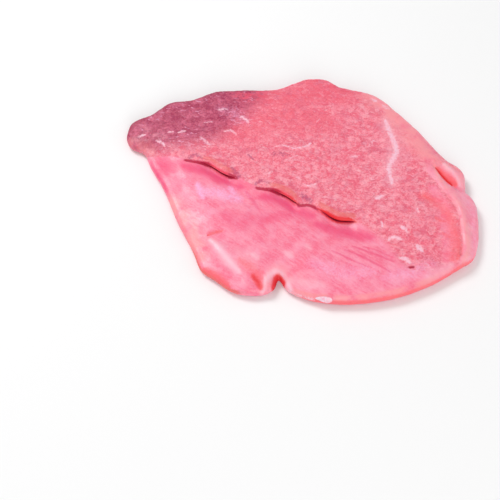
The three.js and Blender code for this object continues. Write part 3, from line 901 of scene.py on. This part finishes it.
# Lavender of connective threads, also the colour of the painted highlights.
LAVENDER_TISSUE_AND_SHEEN = paint(253, 184, 222)
# Orange of the lips' crowns, also used for the painted shadow under the left foot.
LIP_ORANGE_AND_FOOT_SHADOW = paint(228, 118, 114)
# Peach of the rims, also the colour of painted highlights on them.
PEACH_RIM_AND_HIGHLIGHT = paint(251, 158, 163)
# Pale of tissue, also the colour of the painted highlights on ridges.
PALE_RIDGE_AND_HIGHLIGHT = paint(254, 198, 212)
# Coral, mostly the colour of painted shade on rim sides and in grooves.
CORAL_AND_SHADE = paint(246, 108, 116)
# Fresh red of cut meat, also used for painted shade in the notch hole and the cleft.
FRESH_RED_AND_HOLLOW_SHADE = paint(230, 54, 60)
FAT_WHITE = paint(252, 200, 216)
# Dark red of the painted shade in slits and hollows.
SLIT_SHADE_RED = paint(120, 12, 40)
print("the coarse muscle's paint:", [round(value, 2) for value in COARSE_PALE])

# %% [markdown]
# ## Raw pork
# One material covers the whole piece, since its zones melt into each other. The coarse muscle
# is mottled cell by cell and crossed by short dark dashes, the ends of bundles that the knife
# pulled, and by pale threads of connective tissue. The smooth muscle is streaked along its
# fibres. Noise frays the edge of every zone, so that no mark looks drawn.

# %% Raw pork, the coarse muscle
BUNDLE, BUNDLE_TURN, BUNDLE_STRETCH = 2.3, -12, 1.5
DASH, DASH_TURN, DASH_STRETCH = 1.1, 38, 2.8
THREAD, THREAD_TURN, THREAD_STRETCH = 1.3, -18, 2.6

pork = bpy.data.materials.new("raw_pork")
pork.use_nodes = True
pork.node_tree.nodes.clear()
sheet = Shade(pork.node_tree)
place = sheet.node("ShaderNodeTexCoord", {}, {}, "Object")


def zone(name):
    """A colour map of the mesh."""
    return sheet.node("ShaderNodeAttribute", {"attribute_name": name}, {}, "Fac")


wander = cloud(place, 4, detail=2, output="Color")
shift = sheet.node("ShaderNodeVectorMath", {"operation": "MULTIPLY_ADD"}, {
    0: wander, 1: (3 * MM, 3 * MM, 3 * MM), 2: place})
bundle_place = turned(shift, BUNDLE_TURN, BUNDLE_STRETCH)
bundle_tone = cells(bundle_place, BUNDLE, "F1", "Color")
bundle_tone = sheet.node("ShaderNodeSeparateColor", {}, {"Color": bundle_tone}, 0)
bundle_edge = cells(bundle_place, BUNDLE, "DISTANCE_TO_EDGE", "Distance")
speckle = cloud(place, 1.0, detail=3, roughness=0.65)
mottle = cloud(shift, 3.4, detail=4, roughness=0.6)
drift = cloud(place, 16, detail=2)
dashes = eased(cloud(turned(shift, DASH_TURN, DASH_STRETCH), DASH, detail=1), 0.58, 0.70)
threads = eased(cloud(turned(shift, THREAD_TURN, THREAD_STRETCH), THREAD, detail=1), 0.58, 0.72)
threads = threads * eased(drift, 0.42, 0.60)
coarse_tone = 0.55 * mottle + 0.45 * speckle + 0.10 * bundle_tone - 0.05
coarse_meat = mixed(eased(coarse_tone, 0.34, 0.66), COARSE_DEEP, COARSE_PALE)
bruise = eased(cloud(place, 6, detail=3), 0.50, 0.66)
coarse_meat = mixed(bruise * 0.3, coarse_meat, COARSE_BRUISE)
coarse_meat = mixed((1 - eased(bundle_edge, 0.0, 0.14)) * 0.22, coarse_meat, COARSE_DASH)
coarse_meat = mixed(dashes * 0.32, coarse_meat, COARSE_DASH)
coarse_meat = mixed(threads * 0.5, coarse_meat, CONNECTIVE)
print("the coarse muscle has", len(pork.node_tree.nodes), "nodes")

# %% [markdown]
# ### The smooth muscle
# This muscle is cut almost along its fibres, so it looks like satin: pale and finely streaked
# one way, with soft clouds. Noise stretched along the grain gives the streaks. Where it meets
# the coarse muscle, the mottle that both share frays the border.

# %% Raw pork, the smooth muscle
FIBRE, FIBRE_STRETCH = 1.1, 8
BORDER_FRAY = 0.7

fibre_tone = cloud(turned(shift, FIBRE_TURN, FIBRE_STRETCH), FIBRE, detail=3, roughness=0.6)
satin = cloud(place, 7, detail=3, roughness=0.55)
smooth_tone = 0.35 * fibre_tone + 0.45 * satin + 0.20 * speckle
smooth_meat = mixed(eased(smooth_tone, 0.35, 0.65), SMOOTH_DEEP, SMOOTH_PALE)
border = eased(zone("coarse") + BORDER_FRAY * mottle - BORDER_FRAY / 2, 0.2, 0.8)
meat = mixed(border, smooth_meat, coarse_meat)
print("with the smooth muscle", len(pork.node_tree.nodes), "nodes")

# %% [markdown]
# ### The zones
# Meat that met the air longest is mauve, its dried edge is brown-red, a fresh cut is red, and
# the rims are peach. Shade is painted in as well: magenta in front of the lips, coral on rim
# sides that face down and to the front, dark red in slits, the cleft and the notch. Highlights
# are painted as lavender and pale patches on wet spots, ridges and crests. Each map on the mesh
# brings its paint. The order matters: broad zones come first, and thin marks, such as creases,
# fat and slits, lie on top.

# %% Raw pork, the zones
ragged = cloud(place, 1.2, detail=3, roughness=0.6)


def frayed(name, fray, low, high):
    """A colour map whose edge is frayed by noise."""
    return eased(zone(name) + fray * ragged - fray / 2, low, high)


dusk_meat = mixed(eased(coarse_tone, 0.36, 0.66), DUSK_DEEP, DUSK_PALE)
dusk_meat = mixed(threads * 0.5, dusk_meat, LAVENDER_TISSUE_AND_SHEEN)
meat = mixed(eased(zone("dusk") + 0.9 * mottle - 0.45, 0.1, 0.95) * 0.9, meat, dusk_meat)
meat = mixed(zone("back_red") * eased(mottle, 0.35, 0.6) * 0.7, meat, BACK_RED_MEAT)
meat = mixed(frayed("dried", 0.8, 0.1, 0.9) * 0.7, meat, DRIED_MEAT)
# Magenta meat, and painted shade in front of the lips.
meat = mixed(zone("magenta_and_lip_shade") * 0.8, meat, MAGENTA_MEAT_AND_SHADE)
meat = mixed(frayed("dull", 1.2, 0.25, 0.8) * 0.75, meat, DULL_MEAT)
# Painted highlights of the wet film.
meat = mixed(frayed("lavender_highlight", 1.1, 0.15, 1.25), meat, LAVENDER_TISSUE_AND_SHEEN)
# Peach rims and painted highlights.
meat = mixed(zone("peach_and_highlight") * eased(satin, 0.2, 0.6) * 0.9, meat, PEACH_RIM_AND_HIGHLIGHT)
# Pale tissue and painted highlights.
meat = mixed(zone("pale_and_highlight") * 0.85, meat, PALE_RIDGE_AND_HIGHLIGHT)
# Coral marks and painted shade on rims, foot, tuck and groove.
meat = mixed(frayed("coral_and_rim_shade", 0.5, 0.0, 1.0) * 0.85, meat, CORAL_AND_SHADE)
# Orange lip crowns, and painted shadow under the left foot.
meat = mixed(frayed("orange_and_foot_shadow", 1.0, 0.2, 1.0) * 0.7, meat, LIP_ORANGE_AND_FOOT_SHADOW)
# Fresh red, and painted shade in the notch hole and the cleft.
meat = mixed(frayed("red_and_hollow_shade", 0.4, 0.15, 0.9) * 0.9, meat, FRESH_RED_AND_HOLLOW_SHADE)
# Crimson crease, and painted shade in partly closed crevices.
meat = mixed(frayed("crimson_crease_and_crevice_shade", 0.5, 0.15, 0.8) * 0.95, meat, CRIMSON_CREASE_AND_SHADE)
meat = mixed(frayed("fat", 1.6, 0.3, 1.0) * 0.85, meat, FAT_WHITE)
# Painted shade in slits and hollows.
meat = mixed(frayed("crevice_shade", 0.3, 0.2, 0.8) * 0.95, meat, SLIT_SHADE_RED)
print("with the zones", len(pork.node_tree.nodes), "nodes")

# %% [markdown]
# ### The wet surface
# Raw meat is moist. It has a soft gloss, and in patches a sharper film, which is thinner on
# the coarse muscle and missing in the slits. Light also bleeds into it, red the furthest. A
# coat over a rough base makes the film, and subsurface scattering makes the bleed.

# %% Raw pork, the wet surface
COAT_ROUGHNESS = 0.16
BLEED = (1.0, 0.35, 0.25)
BLEED_DEPTH = 2.5 * MM
BLEED_SHARE = 0.3

wet = eased(cloud(place, 8, detail=2), 0.40, 0.62)
roughness = 0.30 + 0.30 * speckle + 0.10 * (1 - wet)
coat = (0.10 + 0.22 * wet) * (1 - 0.7 * zone("coarse")) * (1 - zone("crevice_shade"))
coat = coat * (1 - 0.7 * zone("red_and_hollow_shade"))
grain_height = zone("coarse") * (eased(bundle_edge, 0.0, 0.3) * 0.4 + 0.7 * speckle - 0.5 * dashes)
fibre_height = (1 - zone("coarse")) * (0.6 * fibre_tone + 0.3 * speckle)
bump = sheet.node("ShaderNodeBump", {}, {
    "Strength": 0.5, "Distance": 0.35 * MM, "Height": grain_height + fibre_height})
flesh = sheet.node("ShaderNodeBsdfPrincipled", {"subsurface_method": "RANDOM_WALK"}, {
    "Base Color": meat, "Roughness": roughness, "Coat Weight": coat,
    "Coat Roughness": COAT_ROUGHNESS, "Subsurface Weight": BLEED_SHARE,
    "Subsurface Radius": BLEED, "Subsurface Scale": BLEED_DEPTH, "Normal": bump})
sheet.node("ShaderNodeOutputMaterial", {}, {"Surface": flesh})
steak.data.materials.append(pork)
print("raw pork has", len(pork.node_tree.nodes), "nodes")

# %% [markdown]
# ## A tag of fat
# A small lens of white fat hangs on the front rim, where the knife left it. It starts as a
# ball. The ball is flattened against the rim, narrowed at one end and made uneven, and sinks
# halfway into the meat. Its place comes from the finished rim, so that it never floats.

# %% Tag of fat
TAG_NEAR = Vector((11.5, -80.5, 6.2)) * MM
TAG_TURN = math.radians(-9)
TAG_SIZE = (4.6, 1.7, 0.9)
TAG_TAPER = 0.7
TAG_LUMPS, TAG_CRUMBS = 0.7 * MM, 0.25 * MM

rim_tree = BVHTree.FromObject(steak, bpy.context.evaluated_depsgraph_get())
spot, outward = rim_tree.find_nearest(TAG_NEAR)[:2]
lean = math.atan2(-outward.y, outward.z)
bpy.ops.object.select_all(action="DESELECT")
bpy.ops.mesh.primitive_ico_sphere_add(
    subdivisions=5, radius=MM, location=spot, rotation=(lean, 0, TAG_TURN))
tag = bpy.context.object
tag.name = "front_fat"
edit(tag)
bpy.ops.transform.resize(value=TAG_SIZE, orient_type="LOCAL")
bpy.ops.object.mode_set(mode="OBJECT")
shape_with(tag, "SIMPLE_DEFORM", deform_method="TAPER", deform_axis="X", factor=TAG_TAPER)
shape_with(tag, "DISPLACE", strength=TAG_LUMPS, texture=lumps)
shape_with(tag, "DISPLACE", strength=TAG_CRUMBS, texture=crumbs)
only(tag)
bpy.ops.object.transform_apply(location=True, rotation=True, scale=True)
bpy.ops.object.shade_smooth()
print("the tag sits at", [round(value / MM, 1) for value in spot], "mm")

# %% [markdown]
# ### Moist fat
# Fat is paler than meat and slightly grainy. Two whites mixed by noise, the same bleed of
# light and a fine bump are enough for so small a piece.

# %% Moist fat
FAT_DEEP = paint(248, 184, 201)
FAT_PALE = paint(252, 214, 227)

moist_fat = bpy.data.materials.new("moist_fat")
moist_fat.use_nodes = True
moist_fat.node_tree.nodes.clear()
layer = Shade(moist_fat.node_tree)
grain_place = layer.node("ShaderNodeTexCoord", {}, {}, "Object")
grain_tone = cloud(grain_place, 1.6, detail=3)
grains = cloud(grain_place, 0.5, detail=2)
fat_bump = layer.node("ShaderNodeBump", {}, {
    "Strength": 0.5, "Distance": 0.2 * MM, "Height": grains})
fat_skin = layer.node("ShaderNodeBsdfPrincipled", {"subsurface_method": "RANDOM_WALK"}, {
    "Base Color": mixed(eased(grain_tone, 0.38, 0.62), FAT_DEEP, FAT_PALE),
    "Roughness": 0.3 + 0.2 * grains, "Subsurface Weight": BLEED_SHARE,
    "Subsurface Radius": BLEED, "Subsurface Scale": BLEED_DEPTH, "Normal": fat_bump})
layer.node("ShaderNodeOutputMaterial", {}, {"Surface": fat_skin})
tag.data.materials.append(moist_fat)
print("moist fat has", len(moist_fat.node_tree.nodes), "nodes")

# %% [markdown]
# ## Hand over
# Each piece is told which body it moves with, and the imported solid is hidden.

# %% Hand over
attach(steak, "root")
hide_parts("steak")
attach(tag, "root")
